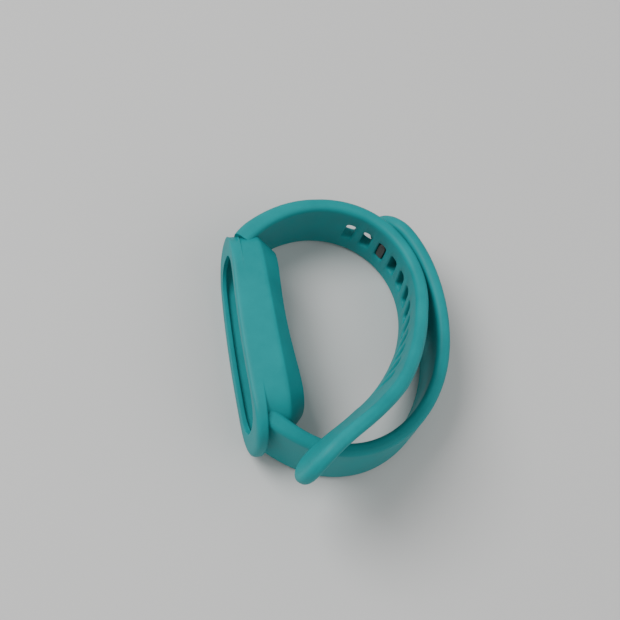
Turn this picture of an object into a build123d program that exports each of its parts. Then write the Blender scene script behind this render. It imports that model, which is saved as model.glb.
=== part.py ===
from build123d import *
import math
import os

# Wrist band for a clip-in activity tracker: one silicone moulding (a hollow holder with two strap
# arms) closed by a snap stud. It is stored closed, standing on its long side edge.
# Frame: +Z up and across the band, Y along the holder, -X out of the holder's window. The origin
# is the middle of the holder's flat lower side wall, which the band stands on.
# Each strap arm follows a centre line given by its bend and its climb at a few stations.

# --- driving dimensions, mm and degrees -------------------------------------------------------
HOLDER_LENGTH = 49.0
HOLDER_WIDTH = 20.5
HOLDER_FRONT_X = -4.0
RIM_DEPTH = 2.6
BEVEL_START_X = 3.8
HOLDER_BACK_X = 7.8
BODY_SHORTER_BY = 3.0
BODY_CENTRE_Y = 1.5
BEVEL_INSET = 4.0
RIM_ROUND = 1.3
WALL = 1.3
WINDOW_LENGTH = 40.0
WINDOW_WIDTH = 15.5
WINDOW_CENTRE_Y = 0.6
LIP = 1.2

STRAP_WIDTH = 17.2
STRAP_THICKNESS = 3.0
STRAP_EDGE_ROUND = 1.0
ROOT_THICKNESS = 4.0
HOLED_ROOT_TAPER = 16.0
STUD_ROOT_TAPER = 18.0
STEP = 0.5
SECTION_SPACING = 5.0
SPAN_LENGTH = 15.0
CUT_THROUGH = 2.5

# Holed strap, from inside the holder's upper end: distance, bend per mm, climb angle.
HOLED_START = (3.05, 23.53)
HOLED_HEADING = 34.8
HOLED_ROOT = 6.0
HOLED_END = 108.0
HOLED_BENDS = [(-6, -4.0), (-0.5, -4.0), (0, -1.72), (14, -2.4), (28, -3.1), (42, -3.05), (49, -2.5),
               (56, -1.77), (63, -0.97), (70, -0.89), (77, -1.04), (84, -1.12), (91, -0.89), (98, 1.3), (108, 4.2)]
HOLED_CLIMBS = [(0, 0), (18, -4.9), (35.5, 0), (40, 3), (52, 16), (66, 26), (80, 27), (90, 12), (96, 3), (108, 0)]
HOLED_LEANS = [(60, 0), (82, -12), (108, -12)]

HOLE_COUNT = 12
HOLE_PITCH = 4.6
HOLE_LENGTH = 2.4
HOLE_HEIGHT = 6.2
HOLE_CORNER = 0.9
STUD_HOLE = 3
STUD_AT = 35.5
TAIL_CUT = 56.2
TAIL_GAP = 0.25
TIP_CUT = 85.0
TIP_GAP = 0.6

# Stud strap, from its rounded end past the stud to inside the holder's lower end. Its distances are
# counted from a point just outside its tip.
STUD_DISTANCE = 8.3
STUD_STRAP_TIP = 2.0
STRAPS_APART = 0.06
STUD_STRAP_END = 94.9
STUD_BENDS = [(0, -1.2), (7.8, -1.2), (8.3, -2.71), (20.3, -1.4), (32.3, -1.22), (44.3, -1.79), (56.3, -2.12),
              (68.3, -3.01), (80.3, -2.61), (92.3, -0.74), (92.8, -4.0), (98.3, -4.0)]
STUD_CLIMBS = [(0, 0), (78, 0), (88, 7), (96, 7)]
PEEL_CUT = 20.0
CURL_CUT = 46.3
PEEL_KERF = 0.1

PEG_LENGTH = 2.0
PEG_HEIGHT = 5.6
PEG_CORNER = 0.7
PEG_SHORT_OF_FACE = 0.1
CAP_LENGTH = 5.0
CAP_HEIGHT = 7.0
CAP_CORNER = 2.0
CAP_THICKNESS = 1.1
CAP_RECESS = 0.8

HOLED_THICKNESS = [(0, ROOT_THICKNESS), (HOLED_ROOT_TAPER, STRAP_THICKNESS)]
STUD_THICKNESS = [(STUD_STRAP_END - STUD_ROOT_TAPER, STRAP_THICKNESS), (STUD_STRAP_END, ROOT_THICKNESS)]
MID_HEIGHT = HOLDER_WIDTH / 2
HALF_STRAP = STRAP_THICKNESS / 2


def value_at(table, distance):
    """The value of a (distance, value) table, in straight lines between its entries."""
    if distance <= table[0][0]:
        return table[0][1]
    for (low, start), (high, end) in zip(table, table[1:]):
        if distance <= high:
            return start + (end - start) * (distance - low) / (high - low)
    return table[-1][1]


def walk(distance, end, x, y, z, heading, bends, climbs):
    """Walks a centre line from distance to end and returns (distance, x, y, z, heading) at each step."""
    step = STEP if end > distance else -STEP
    stops = [(distance, x, y, z, heading)]
    for _ in range(round(abs(end - distance) / STEP)):
        middle = distance + step / 2
        turned = heading + value_at(bends, middle) * step
        along = math.radians((heading + turned) / 2)
        x += step * math.cos(along)
        y += step * math.sin(along)
        z += step * math.tan(math.radians(value_at(climbs, middle)))
        heading = turned
        distance += step
        stops.append((distance, x, y, z, heading))
    return stops


def strap_plane(stops, climbs, leans, distance):
    """The strap's cross-section plane: x out of the outer face, y across the strap, z along it."""
    place = (distance - stops[0][0]) / STEP
    index = min(int(place), len(stops) - 2)
    part = place - index
    _, x, y, z, heading = (a + (b - a) * part for a, b in zip(stops[index], stops[index + 1]))
    climb = math.radians(value_at(climbs, distance))
    along = Vector(math.cos(math.radians(heading)), math.sin(math.radians(heading)), math.tan(climb))
    outward = Vector(-math.sin(math.radians(heading)), math.cos(math.radians(heading)), 0)
    lean = value_at(leans, distance)
    tilted = outward.rotate(Axis((0, 0, 0), along), lean)
    return Plane(origin=(x, y, z), x_dir=tilted, z_dir=along)


# --- centre lines ------------------------------------------------------------------------------
holed_inside = walk(0, -HOLED_ROOT, *HOLED_START, MID_HEIGHT, HOLED_HEADING, HOLED_BENDS, HOLED_CLIMBS)
holed_outside = walk(0, HOLED_END, *HOLED_START, MID_HEIGHT, HOLED_HEADING, HOLED_BENDS, HOLED_CLIMBS)
holed_stops = holed_inside[:0:-1] + holed_outside


def holed_plane(distance):
    return strap_plane(holed_stops, HOLED_CLIMBS, HOLED_LEANS, distance)


hole_plane = holed_plane(STUD_AT)
stud_origin = hole_plane.origin + hole_plane.x_dir * (STRAP_THICKNESS + STRAPS_APART)
stud_heading = math.degrees(math.atan2(hole_plane.z_dir.Y, hole_plane.z_dir.X))
stud_start = (STUD_DISTANCE, stud_origin.X, stud_origin.Y, stud_origin.Z, stud_heading)
stud_back = walk(stud_start[0], STUD_STRAP_TIP, *stud_start[1:], STUD_BENDS, STUD_CLIMBS)
stud_forth = walk(stud_start[0], STUD_STRAP_END, *stud_start[1:], STUD_BENDS, STUD_CLIMBS)
stud_stops = stud_back[:0:-1] + stud_forth


def stud_plane(distance):
    return strap_plane(stud_stops, STUD_CLIMBS, [(0, 0)], distance)


def strap_spans(plane_at, start, end, thickness=((0, STRAP_THICKNESS), ), side=0):
    """Rounded cross-sections of a strap from start to end, in spans that turn little enough to loft.
    Thickness is a (distance, mm) table, and what it has above the strap's own goes out on one side."""
    span_count = math.ceil((end - start) / SPAN_LENGTH)
    span_length = (end - start) / span_count
    steps = math.ceil(span_length / SECTION_SPACING)
    spans = []
    for span in range(span_count):
        sections = []
        for index in range(steps + 1):
            distance = start + span_length * (span + index / steps)
            thick = value_at(thickness, distance)
            with BuildSketch(plane_at(distance)) as section:
                with Locations((side * (thick - STRAP_THICKNESS) / 2, 0)):
                    RectangleRounded(thick, STRAP_WIDTH, STRAP_EDGE_ROUND)
            sections.append(section.sketch)
        spans.append(sections)
    return spans


def face_plane(plane, distance_out):
    """A plane on the strap's face: x along the strap, y across it, z out of the outer face."""
    origin = plane.origin + plane.x_dir * distance_out
    return Plane(origin=origin, x_dir=plane.z_dir, z_dir=plane.x_dir)


def block(plane, length, height, corner, low, high):
    """A rounded block across a strap's thickness, from low to high out of its middle surface."""
    with BuildPart() as solid:
        with BuildSketch(face_plane(plane, low)):
            RectangleRounded(length, height, corner)
        extrude(amount=high - low)
    return solid.part


def end_trim(plane, direction):
    """What is cut away past a centre plane to leave a strap's end fully rounded."""
    with BuildPart() as waste:
        with BuildSketch(face_plane(plane, -STRAP_WIDTH)):
            with Locations((direction * STRAP_WIDTH / 2, 0)):
                Rectangle(STRAP_WIDTH, 2 * STRAP_WIDTH)
            Circle(STRAP_WIDTH / 2, mode=Mode.SUBTRACT)
        extrude(amount=2 * STRAP_WIDTH)
    return waste.part


# --- holder ------------------------------------------------------------------------------------
def holder_plane(x, y=0):
    """A plane across the holder's depth: its x runs along the holder and its z towards the wrist."""
    return Plane(origin=(x, y, MID_HEIGHT), x_dir=(0, 1, 0), z_dir=(1, 0, 0))


body_length = HOLDER_LENGTH - BODY_SHORTER_BY
back_length = body_length - 2 * BEVEL_INSET
back_width = HOLDER_WIDTH - 2 * BEVEL_INSET

with BuildPart() as holder_form:
    with BuildSketch(holder_plane(HOLDER_FRONT_X)):
        SlotOverall(HOLDER_LENGTH, HOLDER_WIDTH)
    extrude(amount=RIM_DEPTH)
    fillet(holder_form.faces().sort_by(Axis.X)[0].edges(), RIM_ROUND)
    with BuildSketch(holder_plane(HOLDER_FRONT_X + RIM_DEPTH, BODY_CENTRE_Y)):
        SlotOverall(body_length, HOLDER_WIDTH)
    extrude(amount=BEVEL_START_X - HOLDER_FRONT_X - RIM_DEPTH)
    with BuildSketch(holder_plane(BEVEL_START_X, BODY_CENTRE_Y)) as bevel_outer:
        SlotOverall(body_length, HOLDER_WIDTH)
    with BuildSketch(holder_plane(HOLDER_BACK_X, BODY_CENTRE_Y)) as bevel_inner:
        SlotOverall(back_length, back_width)
    loft(sections=[bevel_outer.sketch, bevel_inner.sketch], ruled=True)

with BuildPart() as tracker_holder:
    add(holder_form.part)
    with BuildSketch(holder_plane(HOLDER_FRONT_X - LIP, WINDOW_CENTRE_Y)):
        SlotOverall(WINDOW_LENGTH, WINDOW_WIDTH)
    extrude(amount=3 * LIP, mode=Mode.SUBTRACT)
    with BuildSketch(holder_plane(HOLDER_FRONT_X + LIP, BODY_CENTRE_Y)):
        SlotOverall(body_length - 2 * WALL, HOLDER_WIDTH - 2 * WALL)
    extrude(amount=BEVEL_START_X - HOLDER_FRONT_X - LIP, mode=Mode.SUBTRACT)
    with BuildSketch(holder_plane(BEVEL_START_X, BODY_CENTRE_Y)) as pocket_wide:
        SlotOverall(body_length - 2 * WALL, HOLDER_WIDTH - 2 * WALL)
    with BuildSketch(holder_plane(HOLDER_BACK_X, BODY_CENTRE_Y)) as pocket_narrow:
        SlotOverall(back_length - 2 * WALL, back_width - 2 * WALL)
    loft(sections=[pocket_wide.sketch, pocket_narrow.sketch], ruled=True, mode=Mode.SUBTRACT)

# --- holed strap -------------------------------------------------------------------------------
hole_tools = []
for number in range(HOLE_COUNT):
    at = STUD_AT + (number + 1 - STUD_HOLE) * HOLE_PITCH
    hole_tools.append(block(holed_plane(at), HOLE_LENGTH, HOLE_HEIGHT, HOLE_CORNER, -CUT_THROUGH, CUT_THROUGH))

with BuildPart() as holed_strap:
    for span in strap_spans(holed_plane, -HOLED_ROOT, TAIL_CUT - TAIL_GAP, HOLED_THICKNESS, 1):
        loft(sections=span)
    add(holder_form.part, mode=Mode.SUBTRACT)
    add(hole_tools, mode=Mode.SUBTRACT)

with BuildPart() as holed_strap_tail:
    for span in strap_spans(holed_plane, TAIL_CUT, TIP_CUT - TIP_GAP):
        loft(sections=span)
    add(hole_tools, mode=Mode.SUBTRACT)

tip_centre = HOLED_END - STRAP_WIDTH / 2

with BuildPart() as holed_strap_tip:
    for span in strap_spans(holed_plane, TIP_CUT, HOLED_END):
        loft(sections=span)
    add(end_trim(holed_plane(tip_centre), 1), mode=Mode.SUBTRACT)

# --- stud strap and stud -------------------------------------------------------------------------
stud_at = stud_plane(STUD_DISTANCE)
cap_floor = HALF_STRAP - CAP_RECESS
peg_end = -HALF_STRAP - STRAPS_APART - STRAP_THICKNESS + PEG_SHORT_OF_FACE

with BuildPart() as stud_post:
    add(block(stud_at, PEG_LENGTH, PEG_HEIGHT, PEG_CORNER, peg_end, cap_floor))

with BuildPart() as stud_cap:
    add(block(stud_at, CAP_LENGTH, CAP_HEIGHT, CAP_CORNER, cap_floor, cap_floor + CAP_THICKNESS))

with BuildPart() as stud_strap_end:
    for span in strap_spans(stud_plane, STUD_STRAP_TIP, PEEL_CUT - PEEL_KERF / 2):
        loft(sections=span)
    add(end_trim(stud_plane(STUD_STRAP_TIP + STRAP_WIDTH / 2), -1), mode=Mode.SUBTRACT)
    add(block(stud_at, PEG_LENGTH, PEG_HEIGHT, PEG_CORNER, -CUT_THROUGH, CUT_THROUGH), mode=Mode.SUBTRACT)
    add(block(stud_at, CAP_LENGTH, CAP_HEIGHT, CAP_CORNER, cap_floor, CUT_THROUGH), mode=Mode.SUBTRACT)

with BuildPart() as stud_strap_arm:
    for span in strap_spans(stud_plane, PEEL_CUT + PEEL_KERF / 2, CURL_CUT - PEEL_KERF / 2):
        loft(sections=span)

with BuildPart() as stud_strap_root:
    for span in strap_spans(stud_plane, CURL_CUT + PEEL_KERF / 2, STUD_STRAP_END, STUD_THICKNESS, -1):
        loft(sections=span)
    add(holder_form.part, mode=Mode.SUBTRACT)

# --- hinge lines, for the record -----------------------------------------------------------------
peel_line = face_plane(stud_plane(PEEL_CUT), HALF_STRAP)
curl_line = face_plane(stud_plane(CURL_CUT), HALF_STRAP)
print("closure_peel at", peel_line.origin, "axis", peel_line.y_dir)
print("stud_strap_curl at", curl_line.origin, "axis", curl_line.y_dir)
print("tail_swing at", holed_plane(TAIL_CUT).origin, "axis", holed_plane(TAIL_CUT).y_dir)
print("tip_swing at", holed_plane(TIP_CUT).origin, "axis", holed_plane(TIP_CUT).y_dir)

# --- write ---------------------------------------------------------------------------------------
os.makedirs("parts", exist_ok=True)

tracker_holder.part.label = "tracker_holder"
export_step(tracker_holder.part, "parts/tracker_holder.step")
holed_strap.part.label = "holed_strap"
export_step(holed_strap.part, "parts/holed_strap.step")
holed_strap_tail.part.label = "holed_strap_tail"
export_step(holed_strap_tail.part, "parts/holed_strap_tail.step")
holed_strap_tip.part.label = "holed_strap_tip"
export_step(holed_strap_tip.part, "parts/holed_strap_tip.step")
stud_strap_root.part.label = "stud_strap_root"
export_step(stud_strap_root.part, "parts/stud_strap_root.step")
stud_strap_arm.part.label = "stud_strap_arm"
export_step(stud_strap_arm.part, "parts/stud_strap_arm.step")
stud_strap_end.part.label = "stud_strap_end"
export_step(stud_strap_end.part, "parts/stud_strap_end.step")
stud_post.part.label = "stud_post"
export_step(stud_post.part, "parts/stud_post.step")
stud_cap.part.label = "stud_cap"
export_step(stud_cap.part, "parts/stud_cap.step")
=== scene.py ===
import math

import bmesh
import bpy
from mathutils import Matrix, Quaternion, Vector


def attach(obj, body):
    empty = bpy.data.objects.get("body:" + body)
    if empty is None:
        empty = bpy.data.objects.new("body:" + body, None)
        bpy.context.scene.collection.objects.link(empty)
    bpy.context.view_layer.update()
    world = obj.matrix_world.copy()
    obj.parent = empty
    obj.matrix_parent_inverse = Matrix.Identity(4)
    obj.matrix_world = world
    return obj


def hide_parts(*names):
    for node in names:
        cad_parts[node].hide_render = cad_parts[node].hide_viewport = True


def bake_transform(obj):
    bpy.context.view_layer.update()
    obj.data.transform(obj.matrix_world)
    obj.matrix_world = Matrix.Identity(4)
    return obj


# A silicone wrist band for a clip-in activity tracker, closed and standing on its side edge.
# Lengths in the tables below are millimetres; MM turns them into the scene's metres.

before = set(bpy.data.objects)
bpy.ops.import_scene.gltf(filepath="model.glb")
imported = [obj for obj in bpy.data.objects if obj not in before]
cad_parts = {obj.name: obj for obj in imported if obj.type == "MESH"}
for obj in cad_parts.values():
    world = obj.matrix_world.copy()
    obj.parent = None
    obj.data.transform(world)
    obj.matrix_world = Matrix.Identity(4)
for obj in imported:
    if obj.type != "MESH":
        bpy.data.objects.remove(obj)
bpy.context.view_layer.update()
MM = 0.001

# --- the two straps' centre lines, the same as the frame's -------------------------------------
HOLDER_LENGTH = 49.0
HOLDER_WIDTH = 20.5
HOLDER_FRONT_X = -4.0
RIM_DEPTH = 2.6
BEVEL_START_X = 3.8
HOLDER_BACK_X = 7.8
BODY_SHORTER_BY = 3.0
BEVEL_INSET = 4.0
WALL = 1.3
BODY_CENTRE_Y = 1.5
WINDOW_LENGTH = 40.0
WINDOW_WIDTH = 15.5
WINDOW_CENTRE_Y = 0.6
STRAP_WIDTH = 17.2
STRAP_THICKNESS = 3.0
WALK_STEP = 0.5
HOLED_START = (3.05, 23.53)
HOLED_HEADING = 34.8
HOLED_ROOT = 6.0
HOLED_END = 108.0
HOLED_BENDS = [(-6, -4.0), (-0.5, -4.0), (0, -1.72), (14, -2.4), (28, -3.1), (42, -3.05), (49, -2.5),
               (56, -1.77), (63, -0.97), (70, -0.89), (77, -1.04), (84, -1.12), (91, -0.89),
               (98, 1.3), (108, 4.2)]
HOLED_CLIMBS = [(0, 0), (18, -4.9), (35.5, 0), (40, 3), (52, 16), (66, 26), (80, 27), (90, 12),
                (96, 3), (108, 0)]
HOLED_LEANS = [(60, 0), (82, -12), (108, -12)]
HOLE_COUNT = 12
HOLE_PITCH = 4.6
HOLE_SIZE = (2.4, 6.2)
HOLE_CORNER = 0.9
STUD_HOLE = 3
STUD_AT = 35.5
TAIL_CUT = 56.2
TIP_CUT = 85.0
STUD_DISTANCE = 8.3
STUD_STRAP_TIP = 2.0
STRAPS_APART = 0.06
STUD_STRAP_END = 94.9
ROOT_THICKNESS = 4.0
HOLED_ROOT_TAPER = 16.0
STUD_ROOT_TAPER = 18.0
STUD_BENDS = [(0, -1.2), (7.8, -1.2), (8.3, -2.71), (20.3, -1.4), (32.3, -1.22), (44.3, -1.79),
              (56.3, -2.12), (68.3, -3.01), (80.3, -2.61), (92.3, -0.74), (92.8, -4.0), (98.3, -4.0)]
STUD_CLIMBS = [(0, 0), (78, 0), (88, 7), (96, 7)]
PEEL_CUT = 20.0
CURL_CUT = 46.3
HOLED_THICKNESS = [(0, ROOT_THICKNESS), (HOLED_ROOT_TAPER, STRAP_THICKNESS)]
STUD_THICKNESS = [(STUD_STRAP_END - STUD_ROOT_TAPER, STRAP_THICKNESS), (STUD_STRAP_END, ROOT_THICKNESS)]
MID_HEIGHT = HOLDER_WIDTH / 2
HALF_STRAP = STRAP_THICKNESS / 2


def value_at(table, distance):
    """The value of a (distance, value) table, in straight lines between its entries."""
    if distance <= table[0][0]:
        return table[0][1]
    for (low, start), (high, end) in zip(table, table[1:]):
        if distance <= high:
            return start + (end - start) * (distance - low) / (high - low)
    return table[-1][1]


def walk(distance, end, x, y, z, heading, bends, climbs):
    """A strap's centre line from distance to end: (distance, x, y, z, heading) at each step."""
    step = WALK_STEP if end > distance else -WALK_STEP
    stops = [(distance, x, y, z, heading)]
    for _ in range(round(abs(end - distance) / WALK_STEP)):
        middle = distance + step / 2
        turned = heading + value_at(bends, middle) * step
        along = math.radians((heading + turned) / 2)
        x += step * math.cos(along)
        y += step * math.sin(along)
        z += step * math.tan(math.radians(value_at(climbs, middle)))
        heading = turned
        distance += step
        stops.append((distance, x, y, z, heading))
    return stops


def strap_frame(stops, climbs, leans, distance):
    """Origin, outward, across and along directions of the strap at a distance."""
    place = (distance - stops[0][0]) / WALK_STEP
    index = max(0, min(int(place), len(stops) - 2))
    part = place - index
    _, x, y, z, heading = (a + (b - a) * part for a, b in zip(stops[index], stops[index + 1]))
    turn = math.radians(heading)
    rise = math.tan(math.radians(value_at(climbs, distance)))
    along = Vector((math.cos(turn), math.sin(turn), rise)).normalized()
    outward = Vector((-math.sin(turn), math.cos(turn), 0))
    outward = Quaternion(along, math.radians(value_at(leans, distance))) @ outward
    return Vector((x, y, z)), outward, along.cross(outward), along


holed_inside = walk(0, -HOLED_ROOT, *HOLED_START, MID_HEIGHT, HOLED_HEADING, HOLED_BENDS, HOLED_CLIMBS)
holed_outside = walk(0, HOLED_END, *HOLED_START, MID_HEIGHT, HOLED_HEADING, HOLED_BENDS, HOLED_CLIMBS)
holed_stops = holed_inside[:0:-1] + holed_outside


def holed_frame(distance):
    return strap_frame(holed_stops, HOLED_CLIMBS, HOLED_LEANS, distance)


hole_origin, hole_outward, _, hole_along = holed_frame(STUD_AT)
stud_origin = hole_origin + hole_outward * (STRAP_THICKNESS + STRAPS_APART)
stud_heading = math.degrees(math.atan2(hole_along.y, hole_along.x))
stud_back = walk(STUD_DISTANCE, STUD_STRAP_TIP - 0.5, *stud_origin, stud_heading, STUD_BENDS, STUD_CLIMBS)
stud_forth = walk(STUD_DISTANCE, STUD_STRAP_END, *stud_origin, stud_heading, STUD_BENDS, STUD_CLIMBS)
stud_stops = stud_back[:0:-1] + stud_forth


def stud_frame(distance):
    return strap_frame(stud_stops, STUD_CLIMBS, [(0, 0)], distance)


# --- materials ---------------------------------------------------------------------------------
def colour(hex_code):
    """An sRGB hex colour as linear RGBA."""
    parts = [int(hex_code[i:i + 2], 16) / 255 for i in (0, 2, 4)]
    return [c / 12.92 if c <= 0.04045 else ((c + 0.055) / 1.055) ** 2.4 for c in parts] + [1.0]


def node(tree, kind, inputs=None, **settings):
    """Adds a node with its settings; inputs are values, or sockets to link from."""
    made = tree.nodes.new(kind)
    for name, value in settings.items():
        setattr(made, name, value)
    for name, value in (inputs or {}).items():
        if isinstance(value, bpy.types.NodeSocket):
            tree.links.new(value, made.inputs[name])
        else:
            made.inputs[name].default_value = value
    return made


def new_material(name):
    made = bpy.data.materials.new(name)
    made.use_nodes = True
    made.node_tree.nodes.clear()
    return made, made.node_tree


# Silicone rubber, compression moulded in a bead-blasted steel tool and left with its factory
# dusting: the eye gets a dry, soft-edged highlight, a very fine even grain and no sharp highlight.
band_silicone, tree = new_material("moulded_silicone")
place = node(tree, "ShaderNodeTexCoord")
# blasted-tool grain about 0.12 mm across, drawn at 0.3 mm so that it shows
grain = node(tree, "ShaderNodeTexNoise", {
    "Vector": place.outputs["Object"], "Scale": 3300.0, "Detail": 3.0, "Roughness": 0.6})
# skin-oil and dust mottling a few millimetres across
mottle = node(tree, "ShaderNodeTexNoise", {
    "Vector": place.outputs["Object"], "Scale": 160.0, "Detail": 4.0, "Roughness": 0.55})
tint = node(tree, "ShaderNodeValToRGB", {"Fac": mottle.outputs["Fac"]})
tint.color_ramp.elements[0].position, tint.color_ramp.elements[1].position = 0.3, 0.7
tint.color_ramp.elements[0].color = colour("008588")
tint.color_ramp.elements[1].color = colour("008f92")
# sparse pale specks of lint, about a third of a millimetre
lint = node(tree, "ShaderNodeTexVoronoi", {
    "Vector": place.outputs["Object"], "Scale": 240.0, "Randomness": 1.0})
speck = node(tree, "ShaderNodeMapRange", {
    "Value": lint.outputs["Distance"], "From Min": 0.02, "From Max": 0.045, "To Min": 1.0, "To Max": 0.0})
pick = node(tree, "ShaderNodeSeparateColor", {"Color": lint.outputs["Color"]})
rare = node(tree, "ShaderNodeMath", {0: pick.outputs["Red"], 1: 0.93}, operation="GREATER_THAN")
amount = node(tree, "ShaderNodeMath", {0: speck.outputs["Result"], 1: rare.outputs[0]}, operation="MULTIPLY")
faint = node(tree, "ShaderNodeMath", {0: amount.outputs[0], 1: 0.25}, operation="MULTIPLY")
skin = node(tree, "ShaderNodeMix", {
    "Factor": faint.outputs[0], "A": tint.outputs["Color"], "B": colour("8fc8c6")}, data_type="RGBA")
rough = node(tree, "ShaderNodeMapRange", {
    "Value": mottle.outputs["Fac"], "From Min": 0.3, "From Max": 0.7, "To Min": 0.5, "To Max": 0.6})
bump = node(tree, "ShaderNodeBump", {"Height": grain.outputs["Fac"], "Strength": 0.35, "Distance": 0.00004})
shader = node(tree, "ShaderNodeBsdfPrincipled", {
    "Base Color": skin.outputs["Result"], "Roughness": rough.outputs["Result"],
    "Normal": bump.outputs["Normal"],
    "IOR": 1.41, "Specular IOR Level": 0.35, "Subsurface Weight": 0.05, "Subsurface Scale": 0.002,
    "Subsurface Radius": (0.3, 1.0, 1.0)})
node(tree, "ShaderNodeOutputMaterial", {"Surface": shader.outputs["BSDF"]})

# Glass-filled nylon, injection moulded in a textured tool: nearly black with a dull, even sheen.
stud_plastic, tree = new_material("moulded_black_nylon")
place = node(tree, "ShaderNodeTexCoord")
# spark-eroded texture about 0.2 mm across
grain = node(tree, "ShaderNodeTexNoise", {
    "Vector": place.outputs["Object"], "Scale": 4800.0, "Detail": 2.0, "Roughness": 0.5})
mottle = node(tree, "ShaderNodeTexNoise", {"Vector": place.outputs["Object"], "Scale": 700.0, "Detail": 2.0})
tint = node(tree, "ShaderNodeValToRGB", {"Fac": mottle.outputs["Fac"]})
tint.color_ramp.elements[0].color = colour("16170f")
tint.color_ramp.elements[1].color = colour("232320")
bump = node(tree, "ShaderNodeBump", {"Height": grain.outputs["Fac"], "Strength": 0.3, "Distance": 0.00003})
shader = node(tree, "ShaderNodeBsdfPrincipled", {
    "Base Color": tint.outputs["Color"], "Normal": bump.outputs["Normal"], "Roughness": 0.42, "IOR": 1.53})
node(tree, "ShaderNodeOutputMaterial", {"Surface": shader.outputs["BSDF"]})

# Sprayed pale grey board: flat, faintly uneven, no gloss.
table_paint, tree = new_material("sprayed_board")
place = node(tree, "ShaderNodeTexCoord")
wave = node(tree, "ShaderNodeTexNoise", {"Vector": place.outputs["Object"], "Scale": 9.0, "Detail": 3.0})
tint = node(tree, "ShaderNodeValToRGB", {"Fac": wave.outputs["Fac"]})
tint.color_ramp.elements[0].color = colour("cfcfce")
tint.color_ramp.elements[1].color = colour("d4d4d3")
shader = node(tree, "ShaderNodeBsdfPrincipled", {"Base Color": tint.outputs["Color"], "Roughness": 0.75})
node(tree, "ShaderNodeOutputMaterial", {"Surface": shader.outputs["BSDF"]})


# --- flat strap shapes -------------------------------------------------------------------------
EDGE_ROUND = 1.25
EDGE_STEPS = 7
DICE = 0.5


def strap_outline(start, end, round_start, round_end, inset):
    """The flat strap's outline (along, across), drawn in by inset: square or half-round ends."""
    half = STRAP_WIDTH / 2 - inset
    points = []
    for far, rounded, sign in ((start, round_start, -1), (end, round_end, 1)):
        if rounded:
            centre = far - sign * STRAP_WIDTH / 2
            for index in range(33):
                turn = math.radians(-90 + index * 180 / 32)
                points.append((centre + sign * math.cos(turn) * half, sign * math.sin(turn) * half))
        else:
            points.extend([(far, -sign * half), (far, sign * half)])
    return points


def loft_rings(rings, closed=False):
    """A bmesh through rings of equal length: capped at both ends, or closed round on itself."""
    bm = bmesh.new()
    made = [[bm.verts.new(p) for p in ring] for ring in rings]
    count = len(made[0])
    pairs = list(zip(made, made[1:])) + ([(made[-1], made[0])] if closed else [])
    for lower, upper in pairs:
        for i in range(count):
            j = (i + 1) % count
            bm.faces.new((lower[i], lower[j], upper[j], upper[i]))
    if not closed:
        bm.faces.new(made[0][::-1])
        bm.faces.new(made[-1])
    bmesh.ops.recalc_face_normals(bm, faces=bm.faces)
    return bm


def edge_profile(rounding):
    """(inset, height) pairs from the strap's inner face round its edge to its outer face."""
    turns = [math.radians(i * 90 / EDGE_STEPS) for i in range(EDGE_STEPS + 1)]
    upper = [(rounding * (1 - math.cos(t)), HALF_STRAP - rounding + rounding * math.sin(t)) for t in turns]
    crown = (rounding + 0.6, HALF_STRAP)
    lower = [(inset, -height) for inset, height in upper]
    return [(crown[0], -HALF_STRAP)] + lower[::-1] + upper + [crown]


def rounded_rectangle(length, height, corner, grow=0.0, steps=6):
    """Points round a rectangle with round corners, each side moved out by grow."""
    radius = corner + grow
    points = []
    for sx, sy, start in ((1, 1, 0), (-1, 1, 90), (-1, -1, 180), (1, -1, 270)):
        for index in range(steps + 1):
            turn = math.radians(start + index * 90 / steps)
            points.append((sx * (length / 2 - corner) + radius * math.cos(turn),
                           sy * (height / 2 - corner) + radius * math.sin(turn)))
    return points


def object_from(bm, name, material, smooth=True):
    mesh = bpy.data.meshes.new(name)
    bm.to_mesh(mesh)
    bm.free()
    mesh.materials.append(material)
    if smooth:
        mesh.shade_smooth()
    made = bpy.data.objects.new(name, mesh)
    bpy.context.scene.collection.objects.link(made)
    return made


def baked(made):
    """Turns what an object's modifiers give into its plain mesh and removes the modifiers."""
    bpy.context.view_layer.update()
    graph = bpy.context.evaluated_depsgraph_get()
    mesh = bpy.data.meshes.new_from_object(made.evaluated_get(graph))
    made.modifiers.clear()
    old = made.data
    made.data = mesh
    bpy.data.meshes.remove(old)
    return made


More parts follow.
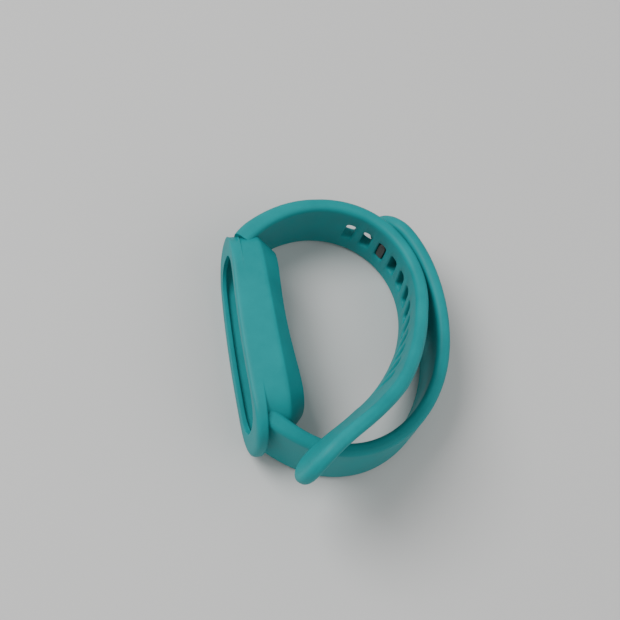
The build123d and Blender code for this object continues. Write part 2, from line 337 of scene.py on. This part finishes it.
def repeat_along(made, count, pitch, start, material):
    """Repeats a piece's own shape in a row along x, with Geometry Nodes."""
    tree = bpy.data.node_groups.new("row_of_holes", "GeometryNodeTree")
    face = tree.interface
    face.new_socket("Shape", in_out="INPUT", socket_type="NodeSocketGeometry")
    for name, kind in (("Count", "NodeSocketInt"), ("Start", "NodeSocketFloat"),
                       ("Pitch", "NodeSocketFloat"), ("Material", "NodeSocketMaterial")):
        face.new_socket(name, in_out="INPUT", socket_type=kind)
    face.new_socket("Row", in_out="OUTPUT", socket_type="NodeSocketGeometry")
    given = node(tree, "NodeGroupInput").outputs
    first = node(tree, "ShaderNodeCombineXYZ", {"X": given["Start"]})
    step = node(tree, "ShaderNodeCombineXYZ", {"X": given["Pitch"]})
    line = node(tree, "GeometryNodeMeshLine", {
        "Count": given["Count"], "Start Location": first.outputs[0], "Offset": step.outputs[0]})
    copies = node(tree, "GeometryNodeInstanceOnPoints", {
        "Points": line.outputs["Mesh"], "Instance": given["Shape"]})
    real = node(tree, "GeometryNodeRealizeInstances", {"Geometry": copies.outputs["Instances"]})
    painted = node(tree, "GeometryNodeSetMaterial", {
        "Geometry": real.outputs["Geometry"], "Material": given["Material"]})
    node(tree, "NodeGroupOutput", {"Row": painted.outputs["Geometry"]})
    modifier = made.modifiers.new("row", "NODES")
    modifier.node_group = tree
    values = {"Count": count, "Start": start, "Pitch": pitch, "Material": material}
    for socket in face.items_tree:
        if getattr(socket, "in_out", "") == "INPUT" and socket.name in values:
            modifier[socket.identifier] = values[socket.name]
    return baked(made)


def hole_cutters(start, end):
    """One mesh that cuts every adjustment hole between two distances, with softly broken rims."""
    offsets = [STUD_AT + (number + 1 - STUD_HOLE) * HOLE_PITCH for number in range(HOLE_COUNT)]
    inside = [at for at in offsets if start < at < end]
    profile = [(0.75, HALF_STRAP + 0.4), (0.4, HALF_STRAP), (0.18, HALF_STRAP - 0.12),
               (0.05, HALF_STRAP - 0.3), (0.0, HALF_STRAP - 0.5)]
    profile = [(grow, -height) for grow, height in profile] + profile[::-1]
    rings = [[(x, y, height) for x, y in rounded_rectangle(*HOLE_SIZE, HOLE_CORNER, grow)]
             for grow, height in profile]
    shape = object_from(loft_rings(rings), "hole_row", band_silicone)
    return repeat_along(shape, len(inside), HOLE_PITCH, inside[0], band_silicone)


def bend_mesh(made, frame_at, thickness=((0, STRAP_THICKNESS), ), side=0):
    """Moves a flat strap's vertices (along, across, out) on to its centre line, in metres.
    Thickness is a (distance, mm) table, and what it has above the strap's own goes out on one side."""
    cached = {}
    for vertex in made.data.vertices:
        x, y, z = vertex.co
        key = round(x, 4)
        if key not in cached:
            cached[key] = frame_at(key), value_at(thickness, key) - STRAP_THICKNESS
        (origin, outward, across, _), extra = cached[key]
        z += extra / 2 * (side + max(-1, min(1, z / (HALF_STRAP - EDGE_ROUND))))
        vertex.co = (origin + outward * z + across * y) * MM
    made.data.update()


def strap_piece(name, frame_at, start, end, round_start=False, round_end=False,
                holes=False, pockets=(), taper=()):
    """A strap from start to end: rounded edges, its holes and recesses, diced and bent."""
    rings = [[(x, y, height) for x, y in strap_outline(start, end, round_start, round_end, inset)]
             for inset, height in edge_profile(EDGE_ROUND)]
    made = object_from(loft_rings(rings), name, band_silicone)
    cutters = list(pockets)
    if holes:
        cutters.append(hole_cutters(start, end))
    for cutter in cutters:
        cut = made.modifiers.new("cut", "BOOLEAN")
        cut.operation = "DIFFERENCE"
        cut.solver = "EXACT"
        cut.object = cutter
    if cutters:
        baked(made)
        for cutter in cutters:
            bpy.data.objects.remove(cutter)
    bm = bmesh.new()
    bm.from_mesh(made.data)
    steps = max(1, round((end - start) / DICE))
    for index in range(1, steps):
        at = start + (end - start) * index / steps
        everything = bm.verts[:] + bm.edges[:] + bm.faces[:]
        bmesh.ops.bisect_plane(bm, geom=everything, dist=0.0005, plane_co=(at, 0, 0), plane_no=(1, 0, 0))
    bmesh.ops.remove_doubles(bm, verts=bm.verts, dist=0.002)
    bmesh.ops.recalc_face_normals(bm, faces=bm.faces)
    bm.to_mesh(made.data)
    bm.free()
    sharpen(made)
    bend_mesh(made, frame_at, *taper)
    return made


def sharpen(made, angle=40):
    """Marks edges sharper than the angle, so that smooth shading stops there."""
    bm = bmesh.new()
    bm.from_mesh(made.data)
    for edge in bm.edges:
        turned = len(edge.link_faces) == 2 and edge.calc_face_angle(0) > math.radians(angle)
        edge.smooth = not turned
    for face in bm.faces:
        face.smooth = True
    bm.to_mesh(made.data)
    bm.free()


def hinge_span(frame_at, cut, reach):
    """Start and end points, in metres, of the stretch either side of a hinge line."""
    return frame_at(cut - reach)[0] * MM, frame_at(cut + reach)[0] * MM


# --- holder ------------------------------------------------------------------------------------
FRONT_SWEEP = 1.7
FRONT_SWEEP_FROM = -8.0
BACK_HOLLOW = 0.7
HOLLOW_CENTRE_Y = BODY_CENTRE_Y + 2
HOLLOW_REACH = 17
SIDE_STEPS = 24
END_SQUARENESS = 0.8


def pill(length, width, centre, steps=24):
    """Points (along y, up z) round a pill shape, the same count for any size."""
    radius = width / 2
    straight = length / 2 - radius
    points = []
    for sign, start in ((1, -90), (-1, 90)):
        for index in range(steps + 1):
            turn = math.radians(start + index * 180 / steps)
            y, z = math.cos(turn), math.sin(turn)
            y, z = (math.copysign(abs(v) ** END_SQUARENESS, v) for v in (y, z))
            points.append((centre + sign * straight + radius * y, radius * z))
    places = [2 * straight * index / SIDE_STEPS for index in range(1, SIDE_STEPS)]
    lower = [(centre - straight + at, -radius) for at in places]
    upper = [(centre + straight - at, radius) for at in places]
    return points[:steps + 1] + upper + points[steps + 1:] + lower


def rounded_profile(corners, steps=6):
    """Rounds a list of (x, length, width, centre, radius) corners of a wall into ring sizes."""
    points = []
    count = len(corners)
    for index, corner in enumerate(corners):
        trio = (corner, corners[index - 1], corners[(index + 1) % count])
        here, before, after = (Vector(c[:4]) for c in trio)
        back, on = before - here, after - here
        first = here + back.normalized() * min(corner[4], back.length / 2)
        last = here + on.normalized() * min(corner[4], on.length / 2)
        for step in range(steps + 1):
            t = step / steps
            points.append(first * (1 - t) ** 2 + here * 2 * t * (1 - t) + last * t ** 2)
    return points


def holder_rings(corners):
    """Rings round the holder's wall, with the face swept back to one end and the back hollowed."""
    rings = []
    for x, length, width, centre in rounded_profile(corners):
        front = max(0, min(1, (BEVEL_START_X - x) / (BEVEL_START_X - HOLDER_FRONT_X)))
        back = max(0, (x - BEVEL_START_X) / (HOLDER_BACK_X - BEVEL_START_X))
        ring = []
        for y, z in pill(length, width, centre):
            swept = max(0, y - FRONT_SWEEP_FROM) / (HOLDER_LENGTH / 2 - FRONT_SWEEP_FROM)
            sweep = FRONT_SWEEP * swept ** 2
            hollow = BACK_HOLLOW * max(0, 1 - ((y - HOLLOW_CENTRE_Y) / HOLLOW_REACH) ** 2) ** 2
            ring.append((x + front * sweep - back * hollow, y, z + MID_HEIGHT))
        rings.append(ring)
    return rings


body_length = HOLDER_LENGTH - BODY_SHORTER_BY
body_back = (body_length - 2 * BEVEL_INSET, HOLDER_WIDTH - 2 * BEVEL_INSET, BODY_CENTRE_Y)
outer_corners = [
    (HOLDER_FRONT_X, HOLDER_LENGTH, HOLDER_WIDTH, 0, 1.9),
    (HOLDER_FRONT_X + RIM_DEPTH, HOLDER_LENGTH, HOLDER_WIDTH, 0, 0.5),
    (HOLDER_FRONT_X + RIM_DEPTH, body_length, HOLDER_WIDTH, BODY_CENTRE_Y, 0.3),
    (BEVEL_START_X, body_length, HOLDER_WIDTH, BODY_CENTRE_Y, 0.9),
    (HOLDER_BACK_X, *body_back, 0.7)]
window = (WINDOW_LENGTH, WINDOW_WIDTH, WINDOW_CENTRE_Y)
pocket = (body_length - 2 * WALL, HOLDER_WIDTH - 2 * WALL, BODY_CENTRE_Y)
pocket_x = HOLDER_FRONT_X + 1.2
inner_corners = [
    (HOLDER_BACK_X, body_back[0] - 2 * WALL, body_back[1] - 2 * WALL, BODY_CENTRE_Y, 0.5),
    (BEVEL_START_X, *pocket, 0.6),
    (pocket_x, *pocket, 0.5),
    (pocket_x, *window, 0.4)]
window_edge = [(HOLDER_FRONT_X, *window, 0.5)]
wall = loft_rings(holder_rings(window_edge + outer_corners + inner_corners), closed=True)
holder = object_from(wall, "holder_moulding", band_silicone)
holder.data.transform(Matrix.Scale(MM, 4))
sharpen(holder, 50)
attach(holder, "moulding")
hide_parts("tracker_holder")


def trim_by_holder(made):
    """Cuts off what of a strap would lie inside the holder's outer form."""
    back = (HOLDER_BACK_X, body_back[0] - 2, body_back[1] - 2, BODY_CENTRE_Y, 0.1)
    solid = holder_rings(window_edge + outer_corners + [back])
    cutter = object_from(loft_rings(solid), "holder_form", band_silicone)
    cutter.data.transform(Matrix.Scale(MM, 4))
    cut = made.modifiers.new("trim", "BOOLEAN")
    cut.operation = "DIFFERENCE"
    cut.solver = "EXACT"
    cut.object = cutter
    baked(made)
    bpy.data.objects.remove(cutter)
    sharpen(made)


# --- holed strap -------------------------------------------------------------------------------
HOLED_SEAMS = (42.7, 70.2)
HOLED_SKIN_START = -3.0

holed_root = strap_piece("holed_strap_root_skin", holed_frame, HOLED_SKIN_START, HOLED_SEAMS[0],
                         holes=True, taper=(HOLED_THICKNESS, 1))
trim_by_holder(holed_root)
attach(holed_root, "moulding")
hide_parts("holed_strap")

holed_middle = strap_piece("holed_strap_middle_skin", holed_frame, *HOLED_SEAMS, holes=True)
start, end = hinge_span(holed_frame, TAIL_CUT, 10)
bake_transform(holed_middle)
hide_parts("holed_strap", "holed_strap_tail")

holed_tail = strap_piece("holed_strap_tail_skin", holed_frame, HOLED_SEAMS[1], HOLED_END,
                         round_end=True, holes=True)
start, end = hinge_span(holed_frame, TIP_CUT, 10)
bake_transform(holed_tail)
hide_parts("holed_strap_tail", "holed_strap_tip")

# --- stud strap --------------------------------------------------------------------------------
STUD_SEAMS = (33.2, 58.9)
PEG_SIZE = (2.0, 5.6)
PEG_CORNER = 0.7
CAP_SIZE = (5.0, 7.0)
CAP_CORNER = 2.0
CAP_RECESS = 0.8


def lofted_plug(name, at, size, corner, profile, material):
    """A rounded-rectangle plug across a flat strap at a distance: (grow, height) pairs."""
    rings = [[(at + x, y, height) for x, y in rounded_rectangle(*size, corner, grow)]
             for grow, height in profile]
    return object_from(loft_rings(rings), name, material)


recess = lofted_plug("cap_recess", STUD_DISTANCE, CAP_SIZE, CAP_CORNER, [
    (0.05, HALF_STRAP - CAP_RECESS), (0.05, HALF_STRAP - 0.25), (0.25, HALF_STRAP),
    (0.6, HALF_STRAP + 0.4)], band_silicone)
peg_way = lofted_plug("peg_way", STUD_DISTANCE, PEG_SIZE, PEG_CORNER, [
    (0.02, -HALF_STRAP - 0.4), (0.02, HALF_STRAP - CAP_RECESS + 0.1)], band_silicone)
stud_tip = strap_piece("stud_strap_end_skin", stud_frame, STUD_STRAP_TIP, STUD_SEAMS[0],
                       round_start=True, pockets=(recess, peg_way))
start, end = hinge_span(stud_frame, PEEL_CUT, 7)
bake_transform(stud_tip)
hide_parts("stud_strap_end", "stud_strap_arm")

stud_arm = strap_piece("stud_strap_arm_skin", stud_frame, *STUD_SEAMS)
start, end = hinge_span(stud_frame, CURL_CUT, 10)
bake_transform(stud_arm)
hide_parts("stud_strap_arm", "stud_strap_root")

stud_root = strap_piece("stud_strap_root_skin", stud_frame, STUD_SEAMS[1], STUD_STRAP_END,
                        taper=(STUD_THICKNESS, -1))
trim_by_holder(stud_root)
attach(stud_root, "moulding")
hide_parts("stud_strap_root")

# --- snap stud ---------------------------------------------------------------------------------
cap_floor = HALF_STRAP - CAP_RECESS
cap = lofted_plug("stud_cap_moulding", STUD_DISTANCE, CAP_SIZE, CAP_CORNER, [
    (-0.3, cap_floor), (-0.05, cap_floor + 0.05), (0.0, cap_floor + 0.2), (0.0, cap_floor + 0.72),
    (-0.06, cap_floor + 0.88), (-0.18, cap_floor + 0.99), (-0.36, cap_floor + 1.06),
    (-0.7, cap_floor + 1.1), (-1.2, cap_floor + 1.1)], stud_plastic)
peg_end = -HALF_STRAP - STRAPS_APART - STRAP_THICKNESS
peg = lofted_plug("stud_post_moulding", STUD_DISTANCE, PEG_SIZE, PEG_CORNER, [
    (-0.45, peg_end + 0.1), (-0.2, peg_end + 0.14), (-0.06, peg_end + 0.3), (0.0, peg_end + 0.55),
    (0.0, cap_floor)], stud_plastic)
stud_centre, *stud_directions = stud_frame(STUD_DISTANCE)


def straight_frame(distance):
    """The stud's own frame at a distance: hard plastic, so it runs straight on from its centre."""
    return stud_centre + stud_directions[2] * (distance - STUD_DISTANCE), *stud_directions


for piece, cad_node in ((cap, "stud_cap"), (peg, "stud_post")):
    sharpen(piece, 35)
    bend_mesh(piece, straight_frame)
    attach(piece, "stud_end")
    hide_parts(cad_node)


# --- table, light and camera -------------------------------------------------------------------
bm = bmesh.new()
bmesh.ops.create_grid(bm, x_segments=2, y_segments=2, size=1.6)
table = object_from(bm, "table", table_paint)
table.location.z = -0.00005

world = bpy.data.worlds.new("room")
bpy.context.scene.world = world
world.use_nodes = True
world.node_tree.nodes["Background"].inputs["Color"].default_value = (1.0, 1.0, 1.0, 1)
world.node_tree.nodes["Background"].inputs["Strength"].default_value = 0.5


def soft_light(name, place, aim, size, power):
    lamp = bpy.data.lights.new(name, "AREA")
    lamp.shape = "DISK"
    lamp.size = size
    lamp.energy = power
    made = bpy.data.objects.new(name, lamp)
    made.location = place
    made.rotation_euler = (Vector(aim) - Vector(place)).to_track_quat("-Z", "Y").to_euler()
    bpy.context.scene.collection.objects.link(made)


soft_light("window_light", (-0.45, 0.25, 0.75), (0.02, 0, 0), 0.5, 6.6)
soft_light("room_light", (0.5, -0.4, 0.7), (0.02, 0, 0), 0.9, 1.8)

# The camera looks down on the band from the holder's side, rolled a little about its own line.
VIEW_TURN = math.radians(-33.69)
VIEW_DOWN = math.radians(65)
VIEW_ROLL = math.radians(24.93)
VIEW_DISTANCE = 0.3128
AIM = Vector((0.01465, 0.00732, 0.0084))
right = Vector((math.cos(VIEW_TURN), math.sin(VIEW_TURN), 0))
level = Vector((-math.sin(VIEW_TURN), math.cos(VIEW_TURN), 0))
ahead = level * math.cos(VIEW_DOWN) - Vector((0, 0, math.sin(VIEW_DOWN)))
above = right.cross(ahead)
camera = bpy.data.objects.new("camera", bpy.data.cameras.new("camera"))
camera.data.sensor_width = 36
camera.data.lens = 36 * 1400 / 620
side = right * math.cos(VIEW_ROLL) + above * math.sin(VIEW_ROLL)
top = above * math.cos(VIEW_ROLL) - right * math.sin(VIEW_ROLL)
turn = Matrix((side, top, -ahead)).transposed().to_4x4()
camera.matrix_world = Matrix.Translation(AIM - ahead * VIEW_DISTANCE) @ turn
camera.data.clip_start = 0.01
bpy.context.scene.collection.objects.link(camera)
bpy.context.scene.camera = camera
